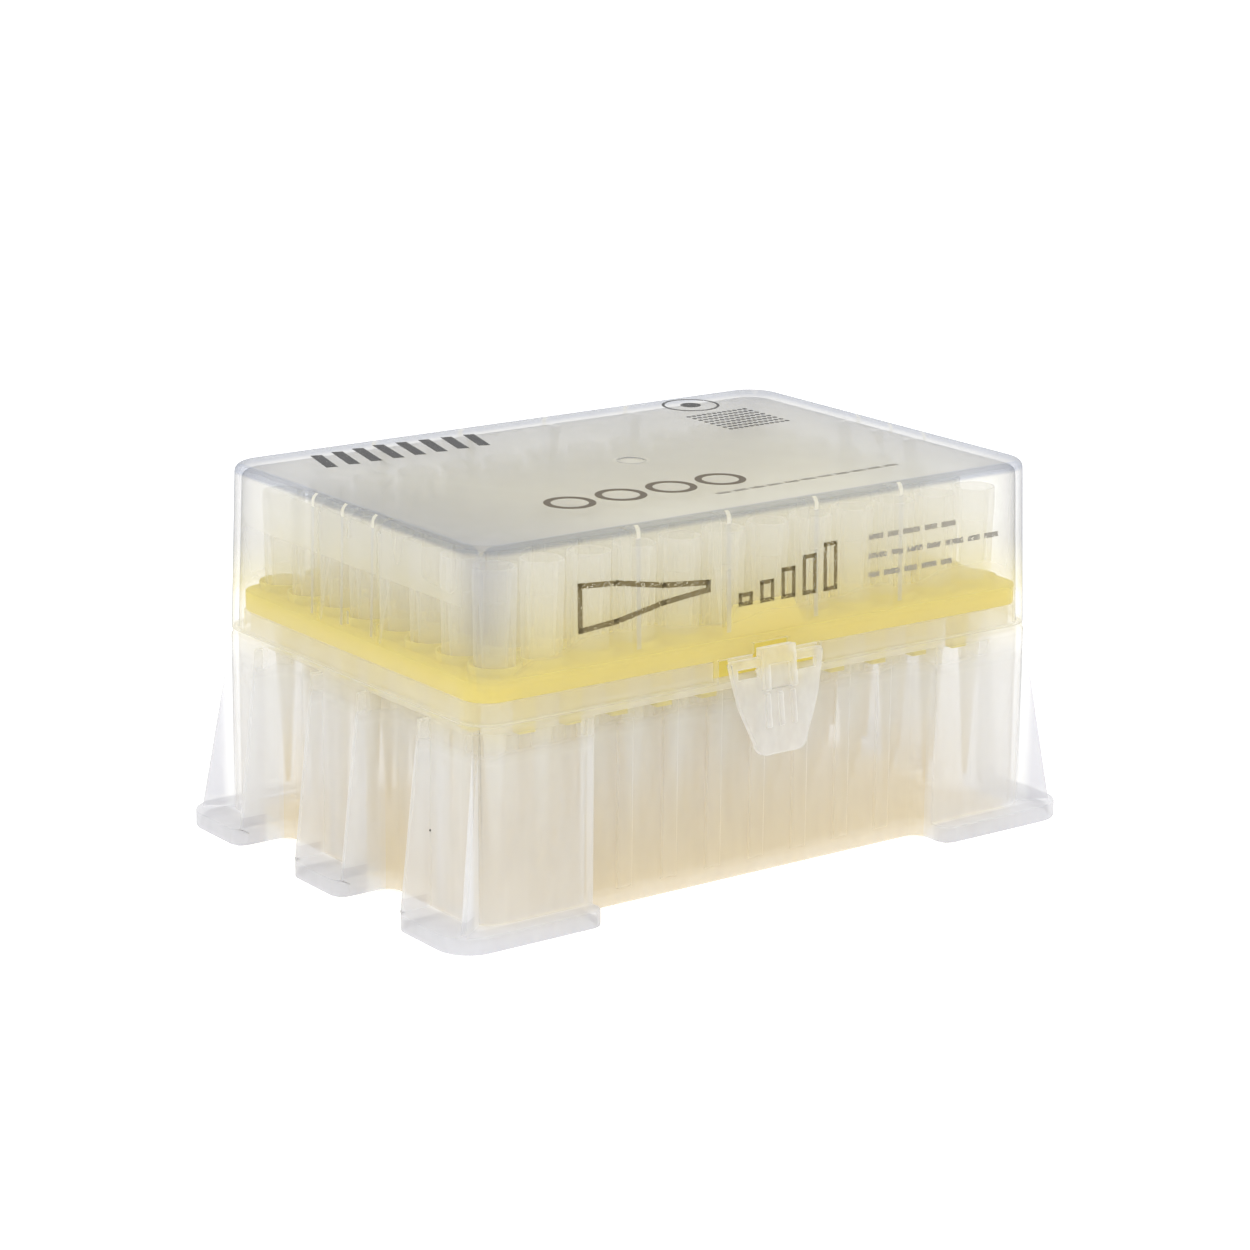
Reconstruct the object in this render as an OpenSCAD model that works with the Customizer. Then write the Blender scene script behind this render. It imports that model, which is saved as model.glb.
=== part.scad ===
// Hinged box of pipette tips on a standard plate footprint.
// Origin: centre of the footprint, on the surface that the box stands on.
// +X runs along the long side, -Y is the latch side, +Z is up.

/* [Footprint] */
// Length of the foot flange
foot_length = 127.76; // [127:0.01:180]
// Width of the foot flange
foot_width = 85.48; // [85:0.01:120]
// Radius of the flange's corners
foot_corner_r = 6; // [3:0.5:8]
// Height of the flange's upper face
foot_height = 2.8; // [2:0.1:4]
// Width of the flange outside the short walls
ledge_x = 6.28; // [5:0.01:7]
// Width of the flange outside the long walls
ledge_y = 3.64; // [3:0.01:4]
// Thickness of the flange and floor plate
floor_t = 1.3; // [1:0.1:2]

/* [Tip grid] */
// Columns of tips along the box
columns = 12; // [10:1:12]
// Rows of tips across the box
rows = 8; // [6:1:8]
// Distance between neighbouring tips
pitch = 9; // [8.6:0.1:9]

/* [Base] */
// Radius of the base's upright corners
base_corner_r = 5; // [3:0.5:7]
// Wall thickness of the base
base_wall = 1.0; // [0.8:0.1:1.4]
// Height of the shoulder that carries the lid
shoulder_z = 35.2; // [32:0.1:45]
// Thickness of the shoulder shelf
shoulder_t = 1.2; // [0.8:0.1:2]
// Height of the collar above the shoulder
collar_h = 3.3; // [2:0.1:5]
// Extra room between the collar and the lid on the hinge side
hinge_side_room = 1.3; // [1:0.1:2]
// Length of the grip recess in each long side
grip_length = 71.2; // [60:0.1:80]
// Width of the foot in the middle of each short side
middle_foot_w = 15; // [12:0.5:17]
// Width of each recess in the short sides
end_recess_w = 17; // [14:0.5:18]
// Fillet radius in the recess corners
recess_r = 2.5; // [1:0.5:4]
// Thickness of the fins that brace the flange
fin_t = 0.9; // [0.6:0.1:1.5]
// Width of the ribs on the recess walls
wall_rib_w = 3; // [2:0.1:4]
// Height of the ribs above the recess walls
wall_rib_h = 0.5; // [0.3:0.1:0.8]

/* [Tips] */
// Radius of a tip's hub
hub_r = 3.55; // [3.2:0.05:3.65]
// Length of a tip's hub above the tip plate
hub_h = 16.95; // [13:0.05:17]
// Length of a tip below the tip plate's upper face
shank_h = 34.35; // [28:0.05:35]
// Outer radius of a tip under its hub
shank_r = 2.55; // [2.2:0.05:2.7]
// Radius of the socket that takes the pipette
socket_r = 2.6; // [2.3:0.05:2.8]
// Depth of the socket's straight land
socket_h = 3.5; // [2:0.5:5]
// Step in the socket's wall below its straight land
socket_step = 0.15; // [0.1:0.05:0.2]
// Depth of the flared lead-in above the socket
lead_in_h = 2; // [0.5:0.1:3]
// Outer radius at the tip's end
end_r = 0.45; // [0.4:0.05:0.6]
// Radius of the bore at the tip's end
end_bore_r = 0.25; // [0.2:0.05:0.3]

/* [Tip plate] */
// Thickness of the tip plate's deck
deck_t = 1.5; // [1:0.1:2]
// Height of the plate's rim, from the collar to the deck's upper face
plate_h = 3.35; // [3:0.05:3.5]
// Width of the seat that each hub rests on, round its hole
seat_w = 0.45; // [0.3:0.05:0.6]
// Height of the ring round each hub
ring_h = 1.3; // [0.5:0.1:3]
// Depth of the locating lugs below the collar's top
lug_drop = 7; // [4:0.5:8]
// Width of a locating lug
lug_w = 3; // [2:0.1:3]
// Height of the catch plate above the deck
catch_rise = 5.15; // [3:0.05:7]

/* [Lid] */
// Amount that the lid stands out past each short wall of the base
lid_over_x = 0.6; // [0.4:0.1:0.8]
// Amount that the lid stands out past each long wall of the base
lid_over_y = 0.2; // [0.2:0.05:0.3]
// Room between the tips and the lid's top
lid_room = 3.6; // [2:0.1:10]
// Amount that each wall leans in towards the top
lid_draft = 0.7; // [0.2:0.1:1.5]
// Radius of the lid's upright corners
lid_corner_r = 6.2; // [5:0.1:8]
// Radius of the lid's top edge
lid_edge_r = 1.4; // [0.8:0.1:3]
// Wall thickness of the lid
lid_wall = 1.2; // [0.8:0.1:1.4]
// Thickness of the stiffening ribs inside the lid
lid_rib_t = 0.9; // [0.6:0.1:1.2]
// Depth of the stiffening ribs under the lid's top
lid_rib_d = 3.6; // [2:0.1:4]
// Diameter of the moulding gate's dimple in the lid's top
gate_d = 5; // [3:0.5:8]

/* [Latch] */
// Width of the flap at its hinge
flap_w = 18.8; // [16:0.1:20]
// Length of the flap
flap_h = 15.8; // [13:0.1:18]
// Thickness of the flap
flap_t = 1.1; // [0.8:0.1:1.3]
// Angle at which the flap stands off the base
flap_lean = 7.6; // [5:0.1:8]
// Width of the raised block that carries the hook
block_w = 6.8; // [5:0.1:8]

/* [Hinge] */
// Distance between the two hinges
hinge_span = 60; // [40:1:62]
// Length of a hinge knuckle
knuckle_l = 8; // [5:0.5:10]
// Radius of a hinge knuckle
knuckle_r = 1.5; // [1.4:0.05:1.5]
// Radius of a hinge pin
pin_r = 0.9; // [0.7:0.05:0.95]

/* [Fits] */
// Clearance between the lid's skirt and the collar
skirt_gap = 0.3; // [0.2:0.05:0.5]
// Clearance between a tip and the base wall beside it
tip_gap = 0.35; // [0.3:0.05:0.6]
// Clearance round a tip in its hole
hole_gap = 0.3; // [0.2:0.05:0.4]
// Clearance round a hub in its ring
ring_gap = 0.3; // [0.2:0.05:0.4]
// Clearance between the tip plate and the base
plate_gap = 0.3; // [0.2:0.05:0.5]
// Clearance between the hook and its catch
hook_gap = 0.3; // [0.25:0.05:0.5]
// Radial clearance of a hinge pin in its knuckle
pin_gap = 0.15; // [0.1:0.05:0.3]
// Clearance between moving parts that lie side by side
side_gap = 0.35; // [0.3:0.05:0.5]

/* [Hidden] */
$fn = 48;

eps = 0.01;
base_length = foot_length - 2 * ledge_x;
base_width = foot_width - 2 * ledge_y;
lid_length = base_length + 2 * lid_over_x;
lid_width = base_width + 2 * lid_over_y;
far = 30;                                   // reach of cutters past the box
grid_x = (columns - 1) / 2 * pitch;         // centre of the outermost column
grid_y = (rows - 1) / 2 * pitch;            // centre of the outermost row
grip_y = grid_y + shank_r + tip_gap + base_wall;   // outer face of the grip recess wall
end_x = grid_x + shank_r + tip_gap + base_wall;    // outer face of the end recess wall
end_recess_y = middle_foot_w / 2 + end_recess_w / 2;
floor_z = foot_height - floor_t;
shelf_z = shoulder_z - shoulder_t;
rim_z = shoulder_z + collar_h;              // top of the collar, which carries the tip plate
deck_z = rim_z + plate_h;                   // upper face of the tip plate
hole_r = shank_r + hole_gap;
hub_foot_r = hole_r + seat_w;               // radius of the hub where it rests on the plate
ring_r = max(hub_r, hub_foot_r) + ring_gap;
hub_top_z = deck_z + hub_h;
lid_top_z = hub_top_z + lid_room + lid_wall;
lid_height = lid_top_z - shoulder_z;
tip_end_z = deck_z - shank_h;

collar_length = lid_length - 2 * lid_wall - 2 * skirt_gap;
collar_width = lid_width - 2 * lid_wall - 2 * skirt_gap - hinge_side_room;
collar_y = -hinge_side_room / 2;
collar_r = lid_corner_r - lid_wall - skirt_gap;
collar_t = 1.1;
collar_front_y = collar_y - collar_width / 2;
plate_rim_t = 1.3;

hinge_y = foot_width / 2 - knuckle_r - 0.04;
hinge_z = shoulder_z + 2.8;
arm_t = 1.2;
gusset_t = 1.2;

catch_t = 1.2;
catch_y = collar_front_y + 0.7;             // front face of the catch plate
catch_low_w = 21;
catch_top_w = 11.6;
catch_low_z = shoulder_z + plate_gap;
lip_w = 10;
lip_h = 1.1;
lip_d = 1.1;
lip_z = shoulder_z + 1.4;
notch_w = catch_low_w + 1;                  // gap in the lid's skirt and the collar

flap_y = -(lid_width / 2 + flap_t / 2);     // axis of the flap's living hinge
flap_z = shoulder_z + 3;
barrel_r = flap_t / 2;
hook_t = 0.5;
block_out = 0.85;
block_up = 2;
block_down = 5;

function tip_column_name(i) = str("tips_column_", i < 10 ? "0" : "", i);
function column_x(i) = (i - (columns + 1) / 2) * pitch;
function row_y(j) = (j - (rows + 1) / 2) * pitch;

// Rectangle with round corners, centred
module round_rect(l, w, r) {
    square([l - 2 * r, w], center = true);
    square([l, w - 2 * r], center = true);
    for (sx = [-1, 1], sy = [-1, 1])
        translate([sx * (l / 2 - r), sy * (w / 2 - r)]) circle(r);
}

// Outline of all the recesses in the sides, made larger by grow
module recesses(grow) {
    r = recess_r + grow;
    for (s = [-1, 1])
        translate([0, s * (grip_y - grow + far / 2)]) round_rect(grip_length + 2 * grow, far, r);
    for (sx = [-1, 1], sy = [-1, 1])
        translate([sx * (end_x - grow + far / 2), sy * end_recess_y])
            round_rect(far, end_recess_w + 2 * grow, r);
}

// What rounds off a square corner at the origin that opens towards +X +Y
module corner_cut(r) {
    difference() {
        translate([-1, -1]) square(r + 1);
        translate([r, r]) circle(r);
    }
}

// Outline of the foot flange: one large plate with the recesses cut out
module foot_outline() {
    difference() {
        round_rect(foot_length, foot_width, foot_corner_r);
        recesses(0);
        for (mx = [0, 1], my = [0, 1]) mirror([mx, 0]) mirror([0, my]) {
            translate([foot_length / 2, middle_foot_w / 2]) rotate(180) corner_cut(recess_r);
            translate([foot_length / 2, middle_foot_w / 2 + end_recess_w])
                rotate(90) corner_cut(recess_r);
            translate([grip_length / 2, foot_width / 2]) rotate(-90) corner_cut(recess_r);
        }
    }
}

module tub_outline() {
    difference() {
        round_rect(base_length, base_width, base_corner_r);
        recesses(0);
    }
}

module tub_inside() {
    difference() {
        round_rect(base_length - 2 * base_wall, base_width - 2 * base_wall,
                   base_corner_r - base_wall);
        recesses(base_wall);
    }
}

// Outline of the collar, made smaller by inset
module collar_outline(inset) {
    translate([0, collar_y])
        round_rect(collar_length - 2 * inset, collar_width - 2 * inset, collar_r - inset);
}

// Fin in a corner, from the upright wall out to the flange
module corner_fin() {
    root = [base_length / 2 - base_corner_r, base_width / 2 - base_corner_r];
    tip = [foot_length / 2 - foot_corner_r, foot_width / 2 - foot_corner_r]
        + (foot_corner_r - 1) * [cos(45), sin(45)];
    reach = norm(tip - root);
    turn = atan2(tip[1] - root[1], tip[0] - root[0]);
    translate([root[0], root[1], 0]) rotate([90, 0, turn])
        linear_extrude(height = fin_t, center = true)
            polygon([[base_corner_r - base_wall / 2, floor_z + floor_t / 2],
                     [reach, floor_z + floor_t / 2], [reach, foot_height],
                     [base_corner_r + 0.2, shelf_z], [base_corner_r - base_wall / 2, shelf_z]]);
}

// Fin at the side of an end recess
module recess_fin() {
    translate([0, fin_t / 2, 0]) rotate([90, 0, 0])
        linear_extrude(height = fin_t, center = true)
            polygon([[base_length / 2 - base_wall / 2, floor_z + floor_t / 2],
                     [foot_length / 2 - recess_r, floor_z + floor_t / 2],
                     [foot_length / 2 - 1, foot_height],
                     [base_length / 2 + 1.9, shelf_z - 1],
                     [base_length / 2 + 1.9, shelf_z],
                     [base_length / 2 - base_wall / 2, shelf_z]]);
}

// Knuckle that holds a hinge pin, its stem, and the two gussets under it
module hinge_knuckle() {
    inner_y = hinge_y - knuckle_r;
    outer_y = hinge_y + knuckle_r;
    stem_z = shelf_z - 1;
    rotate([90, 0, 90]) linear_extrude(height = knuckle_l, center = true) difference() {
        union() {
            translate([hinge_y, hinge_z]) circle(knuckle_r);
            polygon([[base_width / 2 - 2, stem_z], [outer_y, stem_z], [outer_y, hinge_z],
                     [inner_y, hinge_z], [inner_y, shoulder_z - 0.4],
                     [base_width / 2 - 2, shoulder_z - 0.4]]);
        }
        translate([hinge_y, hinge_z]) circle(pin_r + pin_gap);
    }
    for (s = [-1, 1]) translate([s * (knuckle_l - gusset_t) / 2, 0, 0]) rotate([90, 0, 90])
        linear_extrude(height = gusset_t, center = true)
            polygon([[grip_y - base_wall / 2, shelf_z + shoulder_t / 2],
                     [grip_y - base_wall / 2, shelf_z - 8], [outer_y, stem_z],
                     [outer_y, stem_z + 0.5], [inner_y, shelf_z + shoulder_t / 2]]);
}

module base() {
    color([0.86, 0.86, 0.83]) {
        translate([0, 0, floor_z]) linear_extrude(height = floor_t) foot_outline();
        linear_extrude(height = floor_z + eps) difference() {
            foot_outline();
            difference() {
                round_rect(foot_length - 2 * base_wall, foot_width - 2 * base_wall,
                           foot_corner_r - base_wall);
                recesses(base_wall);
            }
        }
        translate([0, 0, floor_z]) linear_extrude(height = shoulder_z - floor_z) difference() {
            tub_outline();
            tub_inside();
        }
        translate([0, 0, shelf_z]) linear_extrude(height = shoulder_t) difference() {
            round_rect(base_length, base_width, base_corner_r);
            intersection() {
                tub_inside();
                collar_outline(collar_t);
            }
        }
        difference() {
            translate([0, 0, shelf_z]) linear_extrude(height = rim_z - shelf_z) difference() {
                collar_outline(0);
                collar_outline(collar_t);
            }
            translate([-notch_w / 2, -foot_width / 2, shoulder_z])
                cube([notch_w, foot_width / 2, collar_h + 1]);
        }
        for (mx = [0, 1], my = [0, 1]) mirror([mx, 0, 0]) mirror([0, my, 0]) {
            corner_fin();
            translate([0, middle_foot_w / 2 - fin_t, 0]) recess_fin();
            translate([0, middle_foot_w / 2 + end_recess_w, 0]) recess_fin();
        }
        for (s = [-1, 1], k = [-3 : 3])
            translate([k * pitch, s * grip_y, (foot_height + shelf_z) / 2])
                cube([wall_rib_w, 2 * wall_rib_h, shelf_z - foot_height], center = true);
        for (s = [-1, 1], k = [-2, 2])
            translate([s * end_x, k * pitch, (foot_height + shelf_z) / 2])
                cube([2 * wall_rib_h, wall_rib_w, shelf_z - foot_height], center = true);
        for (s = [-1, 1]) translate([s * hinge_span / 2, 0, 0]) hinge_knuckle();
    }
}

// Locating lug that hangs inside the base wall, its outer face at the origin
module lug() {
    h = deck_z - deck_t / 2 - (rim_z - lug_drop);
    translate([0, -1, rim_z - lug_drop + h / 2]) cube([lug_w, 2, h], center = true);
}

// Catch plate that the latch's hook grips
module catch_plate() {
    top_z = deck_z + catch_rise;
    translate([0, catch_y + catch_t, 0]) rotate([90, 0, 0]) linear_extrude(height = catch_t)
        polygon([[-catch_low_w / 2, catch_low_z], [catch_low_w / 2, catch_low_z],
                 [catch_low_w / 2, shoulder_z + 3], [catch_top_w / 2, top_z],
                 [-catch_top_w / 2, top_z], [-catch_low_w / 2, shoulder_z + 3]]);
    translate([-lip_w / 2, catch_y - lip_d, lip_z]) cube([lip_w, lip_d + eps, lip_h]);
}

module tip_plate() {
    lug_y = grip_y - base_wall - plate_gap;
    lug_x = end_x - base_wall - plate_gap;
    color([0.96, 0.88, 0.45]) difference() {
        union() {
            translate([0, 0, deck_z - deck_t]) linear_extrude(height = deck_t)
                collar_outline(plate_gap);
            translate([0, 0, rim_z]) linear_extrude(height = plate_h) difference() {
                collar_outline(plate_gap);
                collar_outline(plate_gap + plate_rim_t);
            }
            for (i = [1 : columns], j = [1 : rows]) translate([column_x(i), row_y(j), 0]) {
                translate([0, 0, deck_z - eps]) cylinder(r = ring_r + 0.5, h = ring_h + eps);
                translate([0, 0, rim_z - 1]) cylinder(r = hole_r + 0.8, h = plate_h + 1 - deck_t / 2);
            }
            for (s = [-1, 1], k = [-5 : 5]) if (k != 0)
                translate([k * pitch, 0, 0]) mirror([0, s < 0 ? 1 : 0, 0])
                    translate([0, lug_y, 0]) lug();
            for (s = [-1, 1], k = [-3 : 3])
                translate([0, k * pitch, 0]) rotate(s * -90) translate([0, lug_x, 0]) lug();
            catch_plate();
        }
        for (i = [1 : columns], j = [1 : rows]) translate([column_x(i), row_y(j), 0]) {
            translate([0, 0, rim_z - 2]) cylinder(r = hole_r, h = plate_h + 3);
            translate([0, 0, deck_z]) cylinder(r = ring_r, h = ring_h + 1);
        }
    }
}

// Lid's solid shape: inset is the wall to leave, edge_r the radius of the top edge
module lid_form(inset, edge_r) {
    l = lid_length / 2 - inset;
    w = lid_width / 2 - inset;
    r = lid_corner_r - inset;
    top = lid_top_z - inset;
    hull() for (sx = [-1, 1], sy = [-1, 1]) {
        translate([sx * (l - r), sy * (w - r), shoulder_z - (inset > 0 ? 1 : 0)])
            cylinder(r = r, h = eps, $fn = 32);
        translate([sx * (l - lid_draft - r), sy * (w - lid_draft - r), top - edge_r])
            rotate_extrude($fn = 32) translate([r - edge_r, 0])
                intersection() {
                    circle(edge_r, $fn = 24);
                    square(edge_r);
                }
    }
}

// Stiffening rib on the inside of a lid wall whose lower inner edge lies at the origin
module lid_rib(low_z) {
    top = lid_top_z - lid_wall / 2;
    lean = lid_draft / lid_height;
    function wall_at(z) = -(z - shoulder_z) * lean + lid_wall / 2;
    rotate([90, 0, 90]) linear_extrude(height = lid_rib_t, center = true)
        polygon([[wall_at(low_z), low_z], [wall_at(top), top],
                 [wall_at(top) - lid_wall / 2 - lid_rib_d, top],
                 [wall_at(low_z) - lid_wall / 2 - 0.5, low_z + 0.5]]);
}

// Arms and pin of one hinge on the lid
module hinge_arms() {
    wall_y = lid_width / 2 - lid_wall / 2;
    off = knuckle_l / 2 + side_gap + arm_t / 2;
    for (s = [-1, 1]) translate([s * off, 0, 0]) rotate([90, 0, 90])
        linear_extrude(height = arm_t, center = true) {
            translate([hinge_y, hinge_z]) circle(knuckle_r - 0.1);
            polygon([[wall_y, hinge_z - 1.4], [hinge_y, hinge_z - 1.4], [hinge_y + 0.9, hinge_z + 1.07],
                     [wall_y - 0.1, hinge_z + 4.5]]);
        }
    translate([0, hinge_y, hinge_z]) rotate([0, 90, 0])
        cylinder(r = pin_r, h = 2 * off, center = true);
}

module lid() {
    inner_x = lid_length / 2 - lid_wall;
    inner_y = lid_width / 2 - lid_wall;
    rib_low = flap_z + 3.6;
    color([0.93, 0.93, 0.91]) {
        difference() {
            lid_form(0, lid_edge_r);
            lid_form(lid_wall, lid_edge_r);
            translate([-notch_w / 2, -foot_width / 2, shoulder_z - 1])
                cube([notch_w, foot_width / 2, flap_z + barrel_r + 0.15 - shoulder_z + 1]);
            translate([-block_w / 2 - side_gap, -foot_width / 2, shoulder_z - 1])
                cube([block_w + 2 * side_gap, foot_width / 2, flap_z + block_up + 0.6 - shoulder_z + 1]);
            translate([0, 0, lid_top_z - 0.2]) cylinder(d = gate_d, h = 1);
        }
        for (s = [-1, 1], k = [-3, -1, 1, 3])
            translate([k * pitch, 0, 0]) mirror([0, s < 0 ? 1 : 0, 0])
                translate([0, inner_y, 0]) lid_rib(rib_low);
        for (s = [-1, 1], k = [-1 : 1])
            translate([0, k * pitch, 0]) rotate(s * -90)
                translate([0, inner_x, 0]) lid_rib(k == 0 ? lid_top_z - 6 : rib_low);
        for (s = [-1, 1]) translate([s * hinge_span / 2, 0, 0]) hinge_arms();
    }
}

// Outline of the flap below its hinge
module flap_outline() {
    w = flap_w / 2;
    corner_r = 2.2;
    foot_w = 0.53 * w;
    difference() {
        union() {
            polygon([[-w, 0], [w, 0], [0.975 * w, -0.14 * flap_h], [0.865 * w, -0.44 * flap_h],
                     [0.78 * w, -0.57 * flap_h], [0.68 * w, -0.71 * flap_h],
                     [foot_w + 0.35, corner_r - flap_h], [-foot_w - 0.35, corner_r - flap_h],
                     [-0.68 * w, -0.71 * flap_h], [-0.78 * w, -0.57 * flap_h],
                     [-0.865 * w, -0.44 * flap_h], [-0.975 * w, -0.14 * flap_h]]);
            for (s = [-1, 1]) translate([s * (foot_w - corner_r + 0.35), corner_r - flap_h])
                circle(corner_r);
            translate([-(foot_w - corner_r + 0.35), -flap_h])
                square([2 * (foot_w - corner_r + 0.35), corner_r + eps]);
        }
        for (s = [-1, 1])
            translate([s * (block_w / 2 + w - 1) / 2, -1.9])
                square([w - 1 - block_w / 2 - 0.6, 1.7], center = true);
    }
}

module latch_flap() {
    hook_low = lip_z - hook_gap - hook_t;
    color([0.93, 0.93, 0.91]) {
        translate([0, flap_y, flap_z]) rotate([-flap_lean, 0, 0]) {
            rotate([90, 0, 0]) linear_extrude(height = flap_t, center = true) flap_outline();
            for (s = [-1, 1]) translate([s * (flap_w + block_w) / 4, 0, 0]) rotate([0, 90, 0])
                cylinder(r = barrel_r, h = (flap_w - block_w) / 2 + eps, center = true);
            difference() {
                translate([-block_w / 2, -barrel_r - block_out, -block_down])
                    cube([block_w, flap_t + block_out, block_down + block_up]);
                translate([-block_w / 2 + 1.3, -barrel_r - block_out - eps, -block_down - eps])
                    cube([block_w - 2.6, block_out, block_down - 0.9]);
            }
            for (k = [-1 : 1]) translate([k * block_w / 2.6, -barrel_r - 0.25, -8.4])
                cube([0.9, 0.5 + eps, 5.6], center = true);
        }
        translate([-block_w / 2 + 0.2, flap_y, hook_low])
            cube([block_w - 0.4, catch_y - lip_d - hook_gap - flap_y, hook_t]);
    }
}

// One tip: hub with its socket, and the shank that tapers to the end
module tip() {
    mid_z = tip_end_z + 0.46 * shank_h;
    mid_r = end_r + 0.42 * (shank_r - end_r);
    rotate_extrude() polygon([
        [end_bore_r, tip_end_z], [end_r, tip_end_z], [mid_r, mid_z], [shank_r, deck_z],
        [hub_foot_r, deck_z], [hub_r, hub_top_z], [hub_r - 0.4, hub_top_z],
        [socket_r, hub_top_z - lead_in_h], [socket_r, hub_top_z - lead_in_h - socket_h],
        [socket_r - socket_step, hub_top_z - lead_in_h - socket_h - socket_step],
        [shank_r - 0.5, deck_z + 1], [mid_r - 0.4, mid_z]]);
}

module tips_column(i) {
    color([0.94, 0.93, 0.86])
        for (j = [1 : rows]) translate([column_x(i), row_y(j), 0]) tip();
}

base();
tip_plate();
lid();
latch_flap();
for (i = [1 : columns])
    tips_column(i);
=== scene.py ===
import math

import bmesh
import bpy
from mathutils import Matrix, Vector
from mathutils.bvhtree import BVHTree


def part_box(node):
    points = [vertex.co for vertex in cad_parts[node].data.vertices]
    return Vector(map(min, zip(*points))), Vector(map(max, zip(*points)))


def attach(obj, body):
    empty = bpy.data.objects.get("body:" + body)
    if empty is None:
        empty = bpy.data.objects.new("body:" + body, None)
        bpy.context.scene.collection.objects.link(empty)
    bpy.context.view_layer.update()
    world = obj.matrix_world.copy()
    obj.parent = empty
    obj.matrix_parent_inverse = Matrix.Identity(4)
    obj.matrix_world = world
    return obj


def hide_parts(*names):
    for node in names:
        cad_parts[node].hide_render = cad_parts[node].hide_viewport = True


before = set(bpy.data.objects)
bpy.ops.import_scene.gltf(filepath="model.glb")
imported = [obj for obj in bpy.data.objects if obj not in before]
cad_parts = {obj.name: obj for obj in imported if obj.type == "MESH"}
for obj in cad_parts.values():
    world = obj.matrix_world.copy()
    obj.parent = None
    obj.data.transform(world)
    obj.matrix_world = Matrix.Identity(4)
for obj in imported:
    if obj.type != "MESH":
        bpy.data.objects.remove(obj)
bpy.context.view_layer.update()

# Camera: a long lens a little above the box, turned towards its latch side and one end.
# It looks at a point inside the box at about half its height.
camera_data = bpy.data.cameras.new("camera")
camera_data.sensor_width = 36
camera_data.lens = 105.73
camera = bpy.data.objects.new("camera", camera_data)
bpy.context.scene.collection.objects.link(camera)
aim = Vector((-0.001002, 0, 0.034845))
camera_azimuth = math.radians(-36.405)
camera_elevation = math.radians(15.073)
camera_distance = 0.628109
camera_roll = math.radians(0.521)
away = Vector((
    math.sin(camera_azimuth) * math.cos(camera_elevation),
    -math.cos(camera_azimuth) * math.cos(camera_elevation),
    math.sin(camera_elevation),
))
camera.location = aim + camera_distance * away
camera.rotation_euler = (-away).to_track_quat("-Z", "Y").to_euler()
camera.rotation_euler.rotate_axis("Z", camera_roll)
bpy.context.scene.camera = camera


# Floor: plain white card that runs on to the horizon and keeps the box's soft shadow.
# Seen by the camera it is white, as the world behind it is.
def add_node(material, kind, inputs=(), output=0, **settings):
    """A shader node with its sockets linked or set, known by one of its outputs."""
    node = material.node_tree.nodes.new(kind)
    for name, value in settings.items():
        setattr(node, name, value)
    for socket, value in dict(inputs).items():
        if isinstance(value, bpy.types.NodeSocket):
            material.node_tree.links.new(value, node.inputs[socket])
        else:
            node.inputs[socket].default_value = value
    return node.outputs[output]


def finish_with(material, shader, kind="ShaderNodeOutputMaterial"):
    add_node(material, kind, {"Surface": shader}, output=slice(0))


def math_node(material, operation, first, second=0.0, clamp=False):
    return add_node(material, "ShaderNodeMath", {0: first, 1: second}, operation=operation, use_clamp=clamp)


def product(material, first, second, clamp=False):
    return math_node(material, "MULTIPLY", first, second, clamp)


def larger(material, first, second):
    return math_node(material, "MAXIMUM", first, second)


def seen_directly(material):
    """1 for what the camera sees, straight or through clear plastic, and 0 for what lights the box."""
    camera_ray = add_node(material, "ShaderNodeLightPath", output="Is Camera Ray")
    through_ray = add_node(material, "ShaderNodeLightPath", output="Is Transmission Ray")
    return larger(material, camera_ray, through_ray)


floor_size = 3
card_white = (0.9, 0.9, 0.9, 1)
card_lift = 0.45
floor_mesh = bpy.data.meshes.new("floor")
bm = bmesh.new()
bmesh.ops.create_grid(bm, x_segments=1, y_segments=1, size=floor_size)
bm.to_mesh(floor_mesh)
bm.free()
floor = bpy.data.objects.new("floor", floor_mesh)
bpy.context.scene.collection.objects.link(floor)
white_card = bpy.data.materials.new("white_card")
white_card.use_nodes = True
white_card.node_tree.nodes.clear()
card = add_node(white_card, "ShaderNodeBsdfDiffuse", {"Color": card_white})
lift = product(white_card, seen_directly(white_card), card_lift)
glow = add_node(white_card, "ShaderNodeEmission", {"Strength": lift})
finish_with(white_card, add_node(white_card, "ShaderNodeAddShader", {0: card, 1: glow}))
floor_mesh.materials.append(white_card)

# Studio: a white room, brightest near the horizon, a broad lamp overhead and a weaker one on each side.
# The camera sees the room as plain white. Light passes through many clear walls before it is lost.
horizon_light = 1.24
zenith_light = 0.82
room_white = 1.0
world = bpy.data.worlds.new("white_room")
bpy.context.scene.world = world
world.use_nodes = True
world.cycles.sampling_method = "NONE"
world.node_tree.nodes.clear()
direction = add_node(world, "ShaderNodeTexCoord", output="Generated")
up = add_node(world, "ShaderNodeSeparateXYZ", {0: direction}, output="Z")
falling = add_node(world, "ShaderNodeMapRange", {
    "Value": up, "To Min": horizon_light, "To Max": zenith_light,
})
strength = add_node(world, "ShaderNodeMapRange", {
    "Value": seen_directly(world), "To Min": falling, "To Max": room_white,
})
room = add_node(world, "ShaderNodeBackground", {"Color": (1, 1, 1, 1), "Strength": strength})
finish_with(world, room, "ShaderNodeOutputWorld")

lamp_bounces = 1


def soft_lamp(name, stand, power, size):
    lamp_data = bpy.data.lights.new(name, "AREA")
    lamp_data.energy = power
    lamp_data.size = size
    lamp_data.cycles.max_bounces = lamp_bounces
    lamp = bpy.data.objects.new(name, lamp_data)
    lamp.location = stand
    lamp.rotation_euler = (aim - Vector(stand)).to_track_quat("-Z", "Y").to_euler()
    bpy.context.scene.collection.objects.link(lamp)


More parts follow.
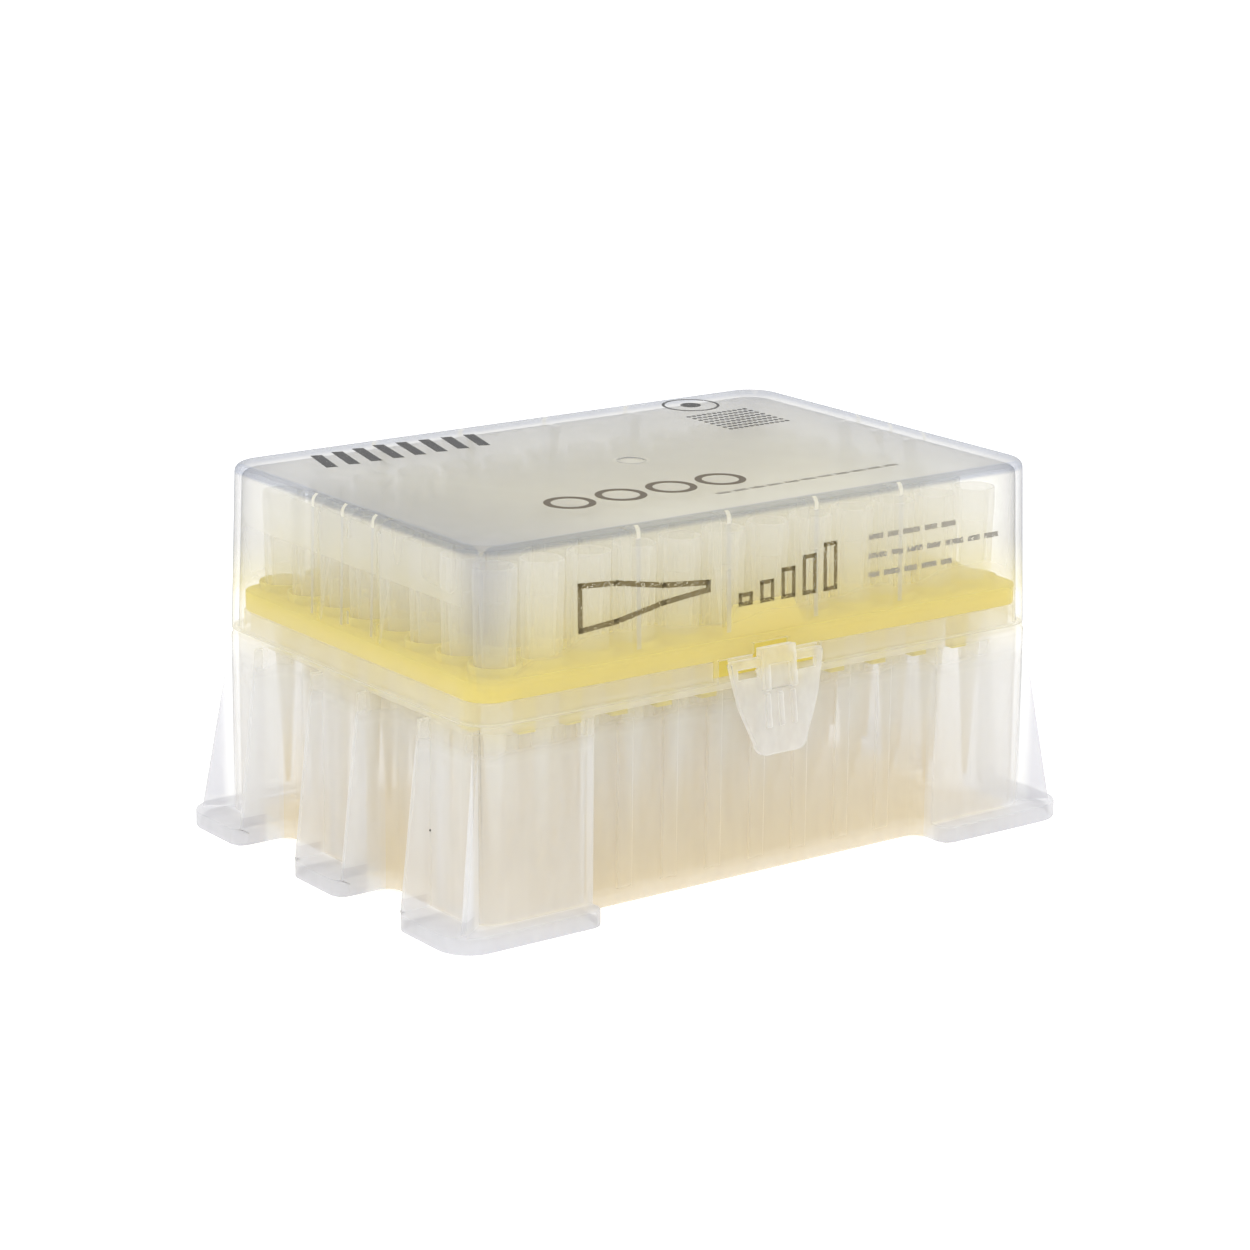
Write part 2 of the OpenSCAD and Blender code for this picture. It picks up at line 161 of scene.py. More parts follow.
soft_lamp("overhead_lamp", (0.05, 0.0, 0.8), power=0.9, size=0.7)
soft_lamp("left_lamp", (-0.9, -0.3, 0.3), power=1.0, size=0.6)
soft_lamp("right_lamp", (0.5, -0.9, 0.3), power=0.8, size=0.6)
bpy.context.scene.view_settings.view_transform = "Standard"
bpy.context.scene.cycles.transparent_max_bounces = 32
bpy.context.scene.cycles.max_bounces = 12
bpy.context.scene.cycles.diffuse_bounces = 10
bpy.context.scene.cycles.transmission_bounces = 12

# Base: one deep injection moulding in natural milky polypropylene, open at the top.
# Its wall lets some light straight through and scatters the rest, so what is inside shows softly.
# It stands on thick feet, stiffened by a fin at each corner.
weld_distance = 1e-7
sharp_angle = math.radians(32)


def softened_copy(node_name, piece_name, body, edge_width, chosen=None):
    """A node's own shape in one skin, with its sharp moulded edges rounded over."""
    bm = bmesh.new()
    bm.from_mesh(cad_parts[node_name].data)
    bmesh.ops.remove_doubles(bm, verts=bm.verts, dist=weld_distance)
    skin = BVHTree.FromBMesh(bm)
    sharp = [
        edge for edge in bm.edges
        if edge.is_manifold and edge.calc_face_angle(0) > sharp_angle and (chosen is None or chosen(edge))
    ]
    bmesh.ops.bevel(
        bm, geom=sharp, offset=edge_width, offset_type="OFFSET", segments=2,
        profile=0.5, affect="EDGES", clamp_overlap=False, loop_slide=False, material=-1,
    )
    for vert in bm.verts:
        nearest, _, _, distance = skin.find_nearest(vert.co)
        if distance > edge_width:
            vert.co = nearest
    return finished_piece(bm, piece_name, body, [node_name])


def finished_piece(bm, name, body, stands_for=(), crease=40):
    for face in bm.faces:
        face.smooth = True
    mesh = bpy.data.meshes.new(name)
    bm.to_mesh(mesh)
    bm.free()
    mesh.set_sharp_from_angle(angle=math.radians(crease))
    piece = bpy.data.objects.new(name, mesh)
    bpy.context.scene.collection.objects.link(piece)
    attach(piece, body)
    if stands_for:
        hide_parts(*stands_for)
        flat_shading = piece.modifiers.new("flat_faces_stay_flat", "WEIGHTED_NORMAL")
        flat_shading.keep_sharp = True
    return piece


def plastic(name):
    material = bpy.data.materials.new(name)
    material.use_nodes = True
    material.node_tree.nodes.clear()
    return material


def place(material):
    return add_node(material, "ShaderNodeTexCoord", output="Object")


def place_along(material, axis):
    return add_node(material, "ShaderNodeSeparateXYZ", {0: place(material)}, output=axis)


def distance_from_middle(material, axis):
    """How far a point is from the box's middle plane, along X or Y."""
    return math_node(material, "ABSOLUTE", place_along(material, axis))


def further_than(material, axis, line):
    """1 past a line that runs along both sides or both ends of the box, and 0 between them."""
    return math_node(material, "GREATER_THAN", distance_from_middle(material, axis), line)


def distance_to(material, point):
    ends = {0: place(material), 1: point}
    return add_node(material, "ShaderNodeVectorMath", ends, output="Value", operation="DISTANCE")


def spread(material, value, low, high, to_low, to_high):
    return add_node(material, "ShaderNodeMapRange", {
        "Value": value, "From Min": low, "From Max": high, "To Min": to_low, "To Max": to_high,
    })


def fade_in(material, value, span):
    """0 before the span, 1 after it."""
    return spread(material, value, *span, 0.0, 1.0)


def fade_out(material, value, span):
    """1 before the span, 0 after it."""
    return spread(material, value, *span, 1.0, 0.0)


flow_detail = 2.0
flow_range = (0.3, 0.7)
grain_scale = 1800.0
grain_detail = 1.0
grain_depth = 0.00002
onwards_share = 0.5


def flow_marks(material, scale, stretch):
    """Cloudy variation left by the melt as it filled the mould, drawn out along Z."""
    drawn_out = add_node(material, "ShaderNodeMapping", {
        "Vector": place(material), "Scale": (1, 1, stretch),
    })
    return add_node(material, "ShaderNodeTexNoise", {
        "Vector": drawn_out, "Scale": scale, "Detail": flow_detail,
    })


def mould_texture(material, strength):
    """Fine grain of the mould's steel on the plastic."""
    grain = add_node(material, "ShaderNodeTexNoise", {
        "Vector": place(material), "Scale": grain_scale, "Detail": grain_detail,
    })
    return add_node(material, "ShaderNodeBump", {
        "Height": grain, "Strength": strength, "Distance": grain_depth,
    })


def slant_haze(material, face_on, edge_on, sharpness):
    """More of the light scatters where the wall is looked along than through."""
    facing = add_node(material, "ShaderNodeLayerWeight", {"Blend": 0.5}, output="Facing")
    bent = math_node(material, "POWER", facing, sharpness)
    return spread(material, bent, 0.0, 1.0, face_on, edge_on)


def cloudy_haze(material, slant, scale, stretch, swing):
    """Haze that drifts up and down with the flow marks as well."""
    clouds = spread(material, flow_marks(material, scale, stretch), *flow_range, 1 - swing, 1 + swing)
    return product(material, slant_haze(material, *slant), clouds, clamp=True)


def blend_colours(material, share, first, second):
    mixed = material.node_tree.nodes.new("ShaderNodeMix")
    mixed.data_type = "RGBA"
    material.node_tree.links.new(share, mixed.inputs["Factor"])
    for socket, colour in ((6, first), (7, second)):
        if isinstance(colour, bpy.types.NodeSocket):
            material.node_tree.links.new(colour, mixed.inputs[socket])
        else:
            mixed.inputs[socket].default_value = (*colour, 1)
    return mixed.outputs[2]


def opaque(colour):
    return (*colour, 1) if isinstance(colour, tuple) else colour


def finish_plastic(material, clear, haze, colour, roughness, gloss, grain=0.15):
    """Clear plastic that scatters a share of the light, half of it back and half onwards."""
    surface = {"Base Color": opaque(colour), "Roughness": roughness, "Specular IOR Level": gloss}
    if grain:
        surface["Normal"] = mould_texture(material, grain)
    skin = add_node(material, "ShaderNodeBsdfPrincipled", surface)
    onwards = add_node(material, "ShaderNodeBsdfTranslucent", {"Color": opaque(colour)})
    scatter = add_node(material, "ShaderNodeMixShader", {0: onwards_share, 1: skin, 2: onwards})
    straight = add_node(material, "ShaderNodeBsdfTransparent", {"Color": opaque(clear)})
    finish_with(material, add_node(material, "ShaderNodeMixShader", {0: haze, 1: straight, 2: scatter}))


base_edge = 0.00022
base_white = (0.935, 0.94, 0.955)
painted_plate_light_amber = (0.98, 0.9, 0.725)
painted_collar_glow = (1.0, 0.97, 0.82)
base_clear = (0.988, 0.988, 0.99)
base_slant = (0.36, 0.8, 2.0)
painted_amber_heights = (0.002, 0.022)
inner_walls = (("X", 0.0548), ("Y", 0.0372))
collar_heights = (0.030, 0.036)
base = softened_copy("base", "base_moulding", "box", base_edge)
milky = plastic("milky_polypropylene")
base_height = place_along(milky, "Z")
# Painted light: low down inside the inner walls the plastic is painted amber, for the plate's yellow light
# falling there.
low = fade_out(milky, base_height, painted_amber_heights)
for axis, wall in inner_walls:
    inside = math_node(milky, "LESS_THAN", distance_from_middle(milky, axis), wall)
    low = product(milky, low, inside)
# Painted glow: the collar band just under the plate is painted warm, for the plate's yellow light in the
# wall.
colour = blend_colours(milky, fade_in(milky, base_height, collar_heights), base_white, painted_collar_glow)
colour = blend_colours(milky, low, colour, painted_plate_light_amber)
haze = cloudy_haze(milky, base_slant, scale=140.0, stretch=0.3, swing=0.12)

# The wall is clearer in the band where the plate's lugs stand behind it.
lug_band_foot = (0.0290, 0.0310)
lug_band_top = (0.0335, 0.0350)
lug_band_haze = 0.62
beside_lugs = larger(
    milky, spread(milky, base_height, *lug_band_foot, 1.0, lug_band_haze),
    spread(milky, base_height, *lug_band_top, lug_band_haze, 1.0),
)
haze = product(milky, haze, beside_lugs)

# One dark speck is moulded into the left end.
speck_place = (-0.0576, -0.0253, 0.0155)
speck_size = 0.00028
speck_dark = (0.03, 0.03, 0.03)
speck = math_node(milky, "LESS_THAN", distance_to(milky, speck_place), speck_size)
colour = blend_colours(milky, speck, colour, speck_dark)
haze = larger(milky, haze, speck)

# The feet and the corner fins stand proud of the wall and carry painted shade: they and what shows through
# them are greyer. The front left fin stays clear.
wall_length, wall_width = 0.0578, 0.0393
proud_span = (0.0, 0.0008)
foot_top = 0.005
painted_foot_shade = (0.84, 0.84, 0.85)
painted_foot_shade_clear = (0.92, 0.92, 0.937)
fin_line = 0.037
painted_fin_shade_clear = (0.87, 0.87, 0.9)
clear_corner = -0.06
past_end = math_node(milky, "SUBTRACT", distance_from_middle(milky, "X"), wall_length)
past_side = math_node(milky, "SUBTRACT", distance_from_middle(milky, "Y"), wall_width)
proud = fade_in(milky, larger(milky, past_end, past_side), proud_span)
at_foot = math_node(milky, "LESS_THAN", base_height, foot_top)
diagonal = add_node(
    milky, "ShaderNodeVectorMath", {0: place(milky), 1: (1, 1, 0)}, output="Value", operation="DOT_PRODUCT",
)
at_fin = product(
    milky, further_than(milky, "Y", fin_line), math_node(milky, "GREATER_THAN", diagonal, clear_corner),
)
proud = product(milky, proud, larger(milky, at_foot, at_fin))
colour = blend_colours(milky, proud, colour, painted_foot_shade)
clear = blend_colours(milky, proud, base_clear, blend_colours(milky, at_foot, painted_fin_shade_clear, painted_foot_shade_clear))
finish_plastic(milky, clear, haze, colour, roughness=0.35, gloss=0.5, grain=0)
base.data.materials.append(milky)

# Tip plate: a yellow moulding that rests on the base's collar and holds the tips.
# Light goes some way into the plastic, so it glows and colours what stands near it.
plate_edge = 0.0002
field_x, field_y = 0.0538, 0.0358
plate_yellow = (0.995, 0.89, 0.24)
plate_pale = (0.995, 0.92, 0.34)
plate_clear = (1.0, 0.97, 0.7)
plate_slant = (0.82, 0.97, 2.0)


def outside_the_field(edge):
    """True away from the holes, whose edges are too many and too close together to round."""
    middle = (edge.verts[0].co + edge.verts[1].co) / 2
    return abs(middle.x) > field_x or abs(middle.y) > field_y


plate = softened_copy("tip_plate", "plate_moulding", "box", plate_edge, outside_the_field)
yellow = plastic("yellow_plastic")
colour = blend_colours(yellow, flow_marks(yellow, scale=90.0, stretch=1.0), plate_yellow, plate_pale)
finish_plastic(yellow, plate_clear, slant_haze(yellow, *plate_slant), colour, roughness=0.4, gloss=0.4)
plate.data.materials.append(yellow)

# Tips: thin natural polypropylene mouldings, twelve columns of eight, each standing on its hub.
# A hub has a plain band round its mouth and shallow flutes below it.
tip_turns = 48
flutes = 12
flute_depth = 0.00006
flute_low, flute_high = 0.0428, 0.0530
flute_margin = 1e-5
hub_skin = 0.0032
rows = 8
tip_outline = [
    (0.25, 7.5), (0.45, 7.5), (0.89, 15.4), (1.332, 23.3), (1.94, 32.6), (2.5, 41.0), (2.62, 41.85),
    (3.3, 41.85), (3.33, 42.3), (3.34, 42.8), (3.46, 53.0), (3.47, 53.6), (3.55, 54.0), (3.55, 58.55),
    (3.47, 58.77), (3.3, 58.8), (3.15, 58.72), (2.6, 56.8), (2.6, 53.3), (2.45, 53.15), (2.05, 42.85),
    (0.93, 23.3), (0.25, 7.6),
]
bm = bmesh.new()
ring = [bm.verts.new((radius / 1000, 0, z / 1000)) for radius, z in tip_outline]
edges = [bm.edges.new((ring[i - 1], ring[i])) for i in range(len(ring))]
bmesh.ops.spin(bm, geom=ring + edges, axis=(0, 0, 1), steps=tip_turns, angle=math.tau, use_merge=True)
bmesh.ops.remove_doubles(bm, verts=bm.verts, dist=weld_distance)
bmesh.ops.recalc_face_normals(bm, faces=bm.faces)
for vert in bm.verts:
    fluted = flute_low - flute_margin < vert.co.z < flute_high + flute_margin
    if fluted and vert.co.xy.length > hub_skin:
        groove = (1 - math.cos(flutes * math.atan2(vert.co.y, vert.co.x))) / 2
        vert.co.xy *= 1 - groove * flute_depth / vert.co.xy.length
one_tip = bpy.data.meshes.new("one_tip")
bm.to_mesh(one_tip)
bm.free()

tip_cream = (0.997, 0.994, 0.975)
painted_plate_light_on_tips = (0.97, 0.895, 0.71)
painted_plate_glow_on_tips = (1.0, 0.965, 0.7)
tip_clear = (0.999, 0.998, 0.99)
tip_slant = (0.24, 0.42, 2.0)
painted_tip_light_heights = (0.010, 0.026)
glow_foot = (0.030, 0.038)
glow_top = (0.0415, 0.054)
shank_haze = 0.45
shank_heights = (0.032, 0.038)
natural = plastic("natural_polypropylene")
tip_height = place_along(natural, "Z")
# Painted light: below the plate the tips are painted amber, for the plate's yellow light falling there.
colour = blend_colours(natural, fade_out(natural, tip_height, painted_tip_light_heights), tip_cream, painted_plate_light_on_tips)
# Painted glow: just above the plate the hubs are painted yellow, for the plate's light scattering up into
# them.
by_plate = product(
    natural, fade_out(natural, tip_height, glow_top), fade_in(natural, tip_height, glow_foot),
)
colour = blend_colours(natural, by_plate, colour, painted_plate_glow_on_tips)
haze = larger(
    natural, slant_haze(natural, *tip_slant), spread(natural, tip_height, *shank_heights, shank_haze, 0.0),
)
finish_plastic(natural, tip_clear, haze, colour, roughness=0.25, gloss=0.5, grain=0)
for name in sorted(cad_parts):
    if not name.startswith("tips_column"):
        continue
    low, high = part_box(name)
    reach = (high[0] - low[0]) / 2
    step = (high[1] - low[1] - 2 * reach) / (rows - 1)
    bm = bmesh.new()
    for row in range(rows):
        earlier = len(bm.verts)
        bm.from_mesh(one_tip)
        bm.verts.ensure_lookup_table()
        to_hole = Vector(((high[0] + low[0]) / 2, low[1] + reach + row * step, 0))
        bmesh.ops.translate(bm, verts=bm.verts[earlier:], vec=to_hole)
    column = finished_piece(bm, name.replace("tips", "fluted_tips"), "box", [name])
    column.data.materials.append(natural)
bpy.data.meshes.remove(one_tip)

# Lid: a clear, slightly hazy moulding with stiffening ribs inside, clipped on hinge pins behind.
# Its walls carry a painted yellow glow over the yellow plate and painted grey shade at the corners; the top
# is painted as shade, greyer towards its ends.
lid_edge = 0.0002
painted_lid_shade = (0.52, 0.53, 0.585)
painted_lid_glow = (1.0, 0.93, 0.55)
lid_cream = (0.99, 0.965, 0.85)
lid_clear = (0.985, 0.986, 0.99)
lid_slant = (0.13, 0.8, 2.8)
lid_low, lid_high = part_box("lid")
lid = softened_copy("lid", "lid_moulding", "lid", lid_edge)
clear_lid = plastic("clear_lid")
lid_height = place_along(clear_lid, "Z")
haze = cloudy_haze(clear_lid, lid_slant, scale=45.0, stretch=0.5, swing=0.06)

skirt_heights = (0.040, 0.042)
glow_heights = (0.042, 0.052)
# Painted glow: low on the walls, over the yellow plate, the lid is painted yellow for the plate's light
# scattering in it.
colour = blend_colours(clear_lid, fade_in(clear_lid, lid_height, glow_heights), painted_lid_glow, lid_cream)
colour = blend_colours(clear_lid, fade_in(clear_lid, lid_height, skirt_heights), lid_cream, colour)

corner_length = (0.047, 0.0555)
corner_width = (0.0295, 0.0365)
wall_heights = (0.040, 0.050)
end_wall_line = 0.0565
end_wall_shade = 0.5
# Painted shade: the corners, and the end walls towards their top, are painted grey.
corner = math_node(
    clear_lid, "MINIMUM", fade_in(clear_lid, distance_from_middle(clear_lid, "X"), corner_length),
    fade_in(clear_lid, distance_from_middle(clear_lid, "Y"), corner_width),
)
corner = product(clear_lid, corner, fade_in(clear_lid, lid_height, wall_heights))
end_wall = further_than(clear_lid, "X", end_wall_line)
painted_end_shade = product(clear_lid, end_wall, spread(clear_lid, lid_height, *wall_heights, 0.0, end_wall_shade))
colour = blend_colours(clear_lid, larger(clear_lid, corner, painted_end_shade), colour, painted_lid_shade)

fog_foot = (0.0405, 0.0425)
fog_heights = (0.043, 0.056)
fog_low, fog_high = 0.16, 0.06
end_wall_fog = 0.15
corner_fog = 0.19
fog = product(
    clear_lid, fade_in(clear_lid, lid_height, fog_foot),
    spread(clear_lid, lid_height, *fog_heights, fog_low, fog_high),
)
fog = product(clear_lid, fog, spread(clear_lid, end_wall, 0.0, 1.0, 1.0, end_wall_fog))
fog = spread(clear_lid, corner, 0.0, 1.0, fog, corner_fog)
haze = math_node(clear_lid, "ADD", haze, fog, clamp=True)

painted_top_shade_warm = (0.84, 0.835, 0.78)
painted_top_shade_cool = (0.5, 0.51, 0.54)
cool_length = (0.02, 0.054)
cool_depth = (-0.024, 0.034)
cool_share = 0.95
top_skin = (lid_high[2] - 0.0020, lid_high[2] - 0.0012)
# Painted shade: the top's skin is painted darker than the walls, and greyer towards its ends and its back.
towards_end = fade_in(clear_lid, distance_from_middle(clear_lid, "X"), cool_length)
towards_hinge = spread(clear_lid, place_along(clear_lid, "Y"), *cool_depth, 0.0, cool_share)
painted_top_shade = blend_colours(clear_lid, larger(clear_lid, towards_end, towards_hinge), painted_top_shade_warm, painted_top_shade_cool)
colour = blend_colours(clear_lid, fade_in(clear_lid, lid_height, top_skin), colour, painted_top_shade)

# The rounded top edge, and every wall seen edge on, carry a painted blue-grey shade, on the skin and on
# what shows through it.
painted_edge_shade = (0.5, 0.54, 0.63)
painted_edge_tint = (0.42, 0.47, 0.6)
edge_on_span = (0.8, 0.95)
band_foot = (lid_high[2] - 0.0016, lid_high[2] - 0.0010)
band_top = (lid_high[2] - 0.0009, lid_high[2] - 0.0004)
band_top_share = 0.8
band_share = 0.55
edge_length, edge_width = 0.0558, 0.0370
facing = add_node(clear_lid, "ShaderNodeLayerWeight", {"Blend": 0.5}, output="Facing")
edge_on = fade_in(clear_lid, facing, edge_on_span)
at_edge = larger(
    clear_lid, further_than(clear_lid, "X", edge_length), further_than(clear_lid, "Y", edge_width),
)
band = product(
    clear_lid, fade_in(clear_lid, lid_height, band_foot),
    spread(clear_lid, lid_height, *band_top, 1.0, band_top_share),
)
band = product(clear_lid, product(clear_lid, band, at_edge), band_share)
edge_shade_share = larger(clear_lid, edge_on, band)
clear = blend_colours(clear_lid, edge_shade_share, lid_clear, painted_edge_tint)
colour = blend_colours(clear_lid, edge_shade_share, colour, painted_edge_shade)

# The gate's pale spot in the middle of the top, and the sink marks where the ribs meet the top edge.
# Each row of ribs gives the axis it runs along, the ribs' places on it, and where the wall lies across.
gate_white = (0.95, 0.94, 0.9)
gate_radii = (0.0014, 0.0034)
gate_share = 0.8
rib_rows = (("X", (0.009, 0.027), "Y", 0.0378), ("Y", (0.0, 0.009), "X", 0.0567))
rib_span = (0.0003, 0.0006)
rib_low = 0.0435
rib_grey = (0.72, 0.735, 0.78)
rib_haze = 0.1
sink_low = lid_high[2] - 0.0022
sink_clear = (1, 1, 1)
sink_haze = 0.65
gate = spread(clear_lid, distance_to(clear_lid, (0, 0, lid_high[2])), *gate_radii, gate_share, 0.0)
colour = blend_colours(clear_lid, gate, colour, gate_white)
for along_axis, ribs, across_axis, wall in rib_rows:
    along = distance_from_middle(clear_lid, along_axis)
    off = [
        math_node(clear_lid, "ABSOLUTE", math_node(clear_lid, "SUBTRACT", along, rib_place))
        for rib_place in ribs
    ]
    near = fade_out(clear_lid, math_node(clear_lid, "MINIMUM", *off), rib_span)
    mark = product(clear_lid, further_than(clear_lid, across_axis, wall), near)
    sink = product(clear_lid, mark, math_node(clear_lid, "GREATER_THAN", lid_height, sink_low))
    rib = product(clear_lid, mark, math_node(clear_lid, "GREATER_THAN", lid_height, rib_low))
    colour = blend_colours(clear_lid, rib, colour, rib_grey)
    haze = math_node(clear_lid, "ADD", haze, product(clear_lid, rib, rib_haze), clamp=True)
    haze = larger(clear_lid, haze, product(clear_lid, sink, sink_haze))
    clear = blend_colours(clear_lid, sink, clear, sink_clear)
    colour = blend_colours(clear_lid, sink, colour, lid_cream)
finish_plastic(clear_lid, clear, haze, colour, roughness=0.12, gloss=0.5, grain=0)
lid.data.materials.append(clear_lid)

# Latch flap: part of the lid's moulding, hung on a thin film of the same plastic.
# It is thicker than the film, frosted by use, with finger ribs under its raised block.
flap_edge = 0.00015
flap_white = (0.985, 0.988, 0.995)
flap_clear = (0.995, 0.995, 0.998)
flap_slant = (0.3, 0.85, 2.0)
flap = softened_copy("latch_flap", "flap_moulding", "latch", flap_edge)
frosted = plastic("frosted_lid_plastic")
haze = cloudy_haze(frosted, flap_slant, scale=300.0, stretch=0.6, swing=0.15)
finish_plastic(frosted, flap_clear, haze, flap_white, roughness=0.2, gloss=0.5)
flap.data.materials.append(frosted)

# Hinge film: the thin strip of lid plastic that the flap bends on, one side and the other of the block.
# It is moulded in one with the lid and the flap, and turns frosty where it bends.
film_thick = 0.0003
film_sunk = 0.00012
film_spans = ((-0.0092, -0.0042), (0.0042, 0.0092))
film_low, film_high = 0.0385, 0.0392
film_edge = 0.00008
bm = bmesh.new()
for start, end in film_spans:
    middle = Vector(((start + end) / 2, lid_low[1] + film_sunk, (film_low + film_high) / 2))
    size = Matrix.Diagonal((end - start, film_thick, film_high - film_low, 1))
    bmesh.ops.create_cube(bm, size=1, matrix=Matrix.Translation(middle) @ size)
bmesh.ops.bevel(
    bm, geom=bm.edges[:], offset=film_edge, offset_type="OFFSET", segments=2,
    profile=0.5, affect="EDGES", clamp_overlap=True, material=-1,
)
film = finished_piece(bm, "hinge_film", "lid")
film.data.materials.append(frosted)

# Print on the lid: plain marks put on by a dot printer, without words.
# Strokes are a hair proud of the plastic, and the dots leave gaps that the plastic shows through.
# Places and widths of marks are in millimetres.
ink_proud = 0.00001
ink_thick = 0.00003
ink_roughness = 0.6
ink_grain = 0.2
dot_softness = 0.04
wall_lean = 0.0007 / 0.027
wall_foot = 0.0352
on_top = Matrix.Translation((0, 0, lid_high[2] + ink_proud))
on_front = Matrix((
    (1, 0, 0, 0),
    (0, wall_lean, -1, lid_low[1] - ink_proud - wall_lean * wall_foot),
    (0, 1, 0, 0),
    (0, 0, 0, 1),
))


def stroke(bm, start, end, width):
    """A flat bar from start to end."""
    start, end = Vector(start) / 1000, Vector(end) / 1000
    along = end - start
    turn = Matrix.Rotation(math.atan2(along.y, along.x), 4, "Z")
    size = Matrix.Diagonal((along.length + width / 1000, width / 1000, 1, 1))
    middle = Matrix.Translation(((start + end) / 2).to_3d())
    bmesh.ops.create_grid(bm, x_segments=1, y_segments=1, size=0.5, matrix=middle @ turn @ size)


def outline(bm, corners, width):
    for i, corner in enumerate(corners):
        stroke(bm, corners[i - 1], corner, width)


def ring_mark(bm, centre, radius, width):
    middle = Matrix.Translation((centre[0] / 1000, centre[1] / 1000, 0))
    made = bmesh.ops.create_circle(bm, segments=48, radius=(radius - width / 2) / 1000, matrix=middle)
    rim = [edge for edge in bm.edges if edge.verts[0] in made["verts"]]
    grown = bmesh.ops.extrude_edge_only(bm, edges=rim)["geom"]
    outer = [item for item in grown if isinstance(item, bmesh.types.BMVert)]
    scale = (radius + width / 2) / (radius - width / 2)
    bmesh.ops.scale(bm, verts=outer, vec=(scale, scale, 1), space=middle.inverted())


def dot(bm, centre, radius, segments):
    middle = Matrix.Translation((centre[0] / 1000, centre[1] / 1000, 0))
    bmesh.ops.create_circle(bm, cap_ends=True, segments=segments, radius=radius / 1000, matrix=middle)


def printed(bm, name, onto, ink):
    """Flat marks raised a little, and laid on the lid's top or its leaning front."""
    bmesh.ops.recalc_face_normals(bm, faces=bm.faces)
    for face in bm.faces:
        if face.normal.z < 0:
            face.normal_flip()
    grown = bmesh.ops.extrude_face_region(bm, geom=bm.faces[:])["geom"]
    raised = [item for item in grown if isinstance(item, bmesh.types.BMVert)]
    bmesh.ops.translate(bm, verts=raised, vec=(0, 0, ink_thick))
    bmesh.ops.transform(bm, matrix=onto, verts=bm.verts)
    bmesh.ops.recalc_face_normals(bm, faces=bm.faces)
    marks = finished_piece(bm, name, "lid", crease=20)
    marks.data.materials.append(ink)


def dotted_ink(name, colour, dot_size, cover):
    material = plastic(name)
    cells = add_node(material, "ShaderNodeTexNoise", {
        "Vector": place(material), "Scale": 1 / dot_size, "Detail": 0.0,
    })
    there = fade_out(material, cells, (cover, cover + dot_softness))
    ink = add_node(material, "ShaderNodeBsdfPrincipled", {
        "Base Color": opaque(colour), "Roughness": ink_roughness,
        "Normal": mould_texture(material, ink_grain),
    })
    gap = add_node(material, "ShaderNodeBsdfTransparent")
    finish_with(material, add_node(material, "ShaderNodeMixShader", {0: there, 1: gap, 2: ink}))
    return material


front_ink = dotted_ink("olive_dot_ink", (0.16, 0.12, 0.04), dot_size=0.00022, cover=0.6)
faint_ink = dotted_ink("faint_dot_ink", (0.3, 0.28, 0.24), dot_size=0.0002, cover=0.54)
top_ink = dotted_ink("black_dot_ink", (0.05, 0.05, 0.05), dot_size=0.0004, cover=0.68)
brown_ink = dotted_ink("brown_dot_ink", (0.11, 0.085, 0.05), dot_size=0.0004, cover=0.72)

# On the front: a tip lying on its side, and a scale of rising bars beside it.
tip_mark = (
    (-38.4, 48.2), (-31.4, 48.7), (-22, 50.4), (-13.2, 51.2),
    (-13.2, 52.4), (-22, 53.2), (-31.4, 54.9), (-38.4, 55.4),
)
bm = bmesh.new()
outline(bm, tip_mark, width=0.9)
printed(bm, "front_tip_mark", on_front, front_ink)

scale_places = (-5.6, -1.2, 3.2, 7.6, 12.0)
scale_half = 1.1
scale_foot = 47.8
scale_first, scale_rise = 49.3, 1.5
bm = bmesh.new()
for i, x in enumerate(scale_places):
    left, right, top = x - scale_half, x + scale_half, scale_first + scale_rise * i
    outline(bm, ((left, scale_foot), (right, scale_foot), (right, top), (left, top)), width=0.7)
printed(bm, "front_bar_marks", on_front, front_ink)

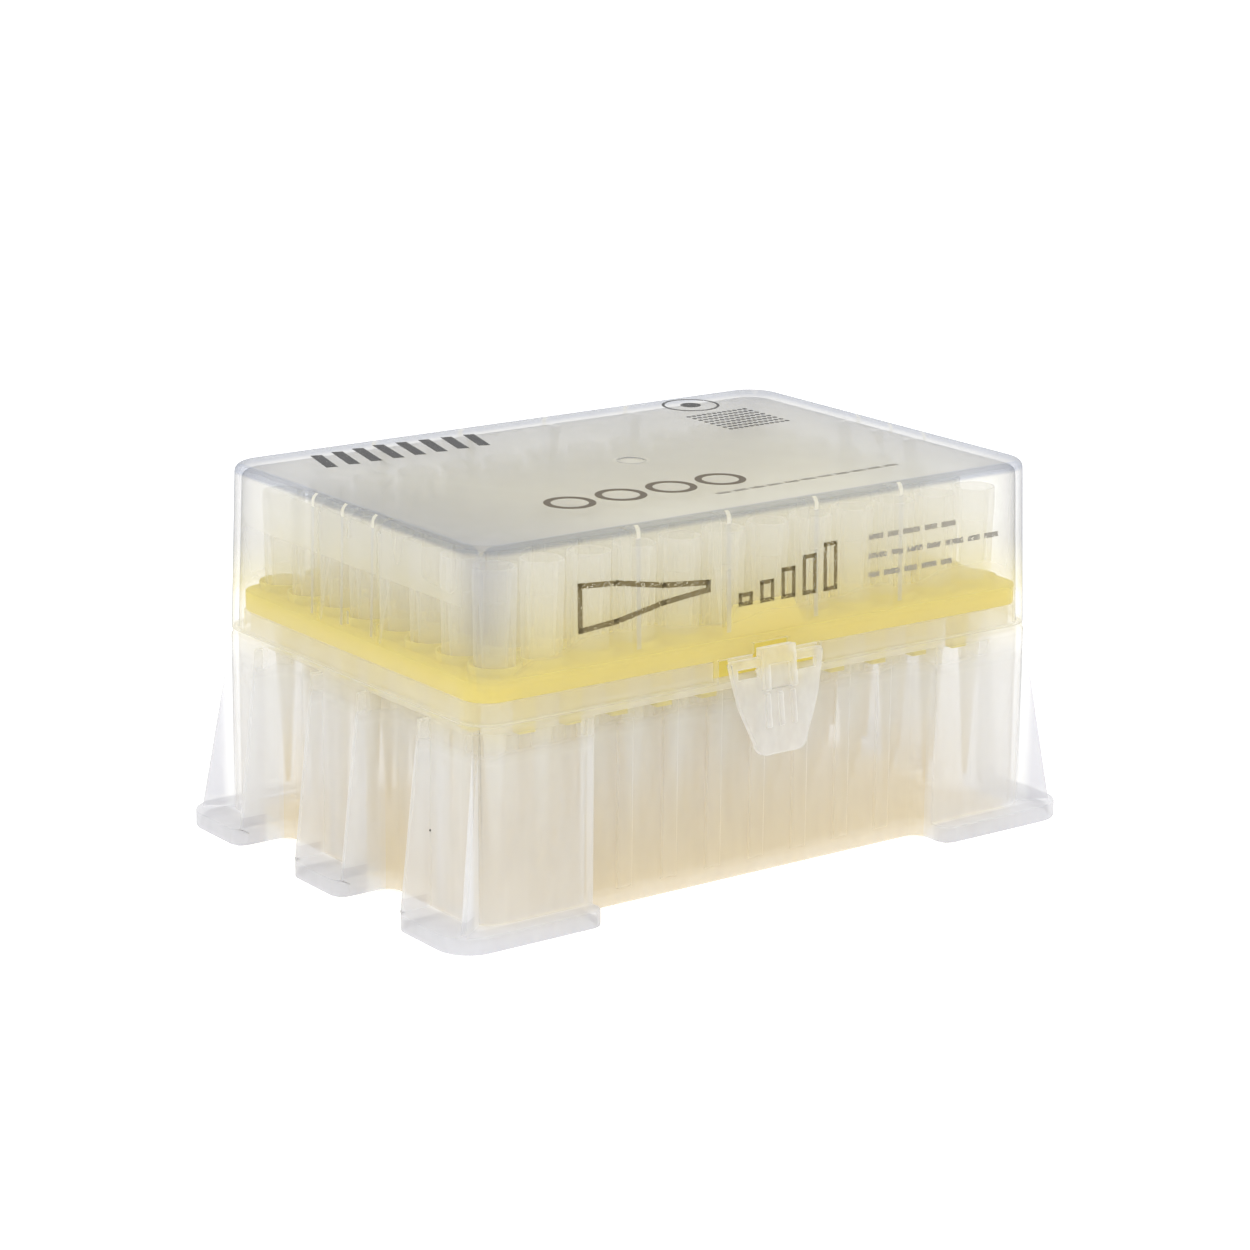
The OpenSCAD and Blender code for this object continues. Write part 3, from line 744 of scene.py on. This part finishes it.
# Three rows of short dashes: the height of each row, and its dashes' lengths.
dash_rows = (
    (55.2, (2.2, 1.4, 2.8, 1.8, 2.2)),
    (52.0, (3.0, 1.6, 2.4, 2.0, 3.2, 1.8, 2.2)),
    (48.8, (1.4, 2.6, 1.8, 2.4, 1.6)),
)
dash_start = 20.6
dash_gap = 1.9
dash_width = 0.9
bm = bmesh.new()
for z, lengths in dash_rows:
    x = dash_start
    for length in lengths:
        stroke(bm, (x, z), (x + length, z), dash_width)
        x += length + dash_gap
printed(bm, "front_dash_marks", on_front, faint_ink)

# On top: a row of slanted bars, and a row of four rings with dashes beside it.
bar_foot, bar_head = (-44.5, 24.5), (-42.5, 33.0)
bar_pitch = 4.4
bar_fall = 0.4
bm = bmesh.new()
for i in range(8):
    head_y = bar_head[1] - bar_fall * abs(i - 3)
    stroke(bm, (bar_foot[0] + bar_pitch * i, bar_foot[1]), (bar_head[0] + bar_pitch * i, head_y), width=2.0)
printed(bm, "top_bar_marks", on_top, top_ink)

first_ring = (-27.0, -20.0)
ring_pitch = 10.2
bm = bmesh.new()
for i in range(4):
    ring_mark(bm, (first_ring[0] + ring_pitch * i, first_ring[1]), radius=3.7, width=1.2)
printed(bm, "top_ring_marks", on_top, brown_ink)

line_start, line_end = -3, -1.2
line_y = -28.2
line_pitch, line_climb = 3.6, 0.05
bm = bmesh.new()
for i in range(11):
    y = line_y + line_climb * i
    stroke(bm, (line_start + line_pitch * i, y), (line_end + line_pitch * i, y), dash_width)
printed(bm, "top_dash_marks", on_top, faint_ink)

# A ring with a dot in it, and a plan of the rack, one dot for each tip.
target = (36.2, 31)
plan_start = (29.6, 10.6)
plan_pitch = (1.15, 1.75)
plan_columns = 12
bm = bmesh.new()
ring_mark(bm, target, radius=5.0, width=0.5)
dot(bm, target, radius=1.9, segments=24)
for i in range(plan_columns):
    for j in range(rows):
        centre = (plan_start[0] + plan_pitch[0] * i, plan_start[1] + plan_pitch[1] * j)
        dot(bm, centre, radius=0.46, segments=8)
printed(bm, "top_plan_marks", on_top, top_ink)
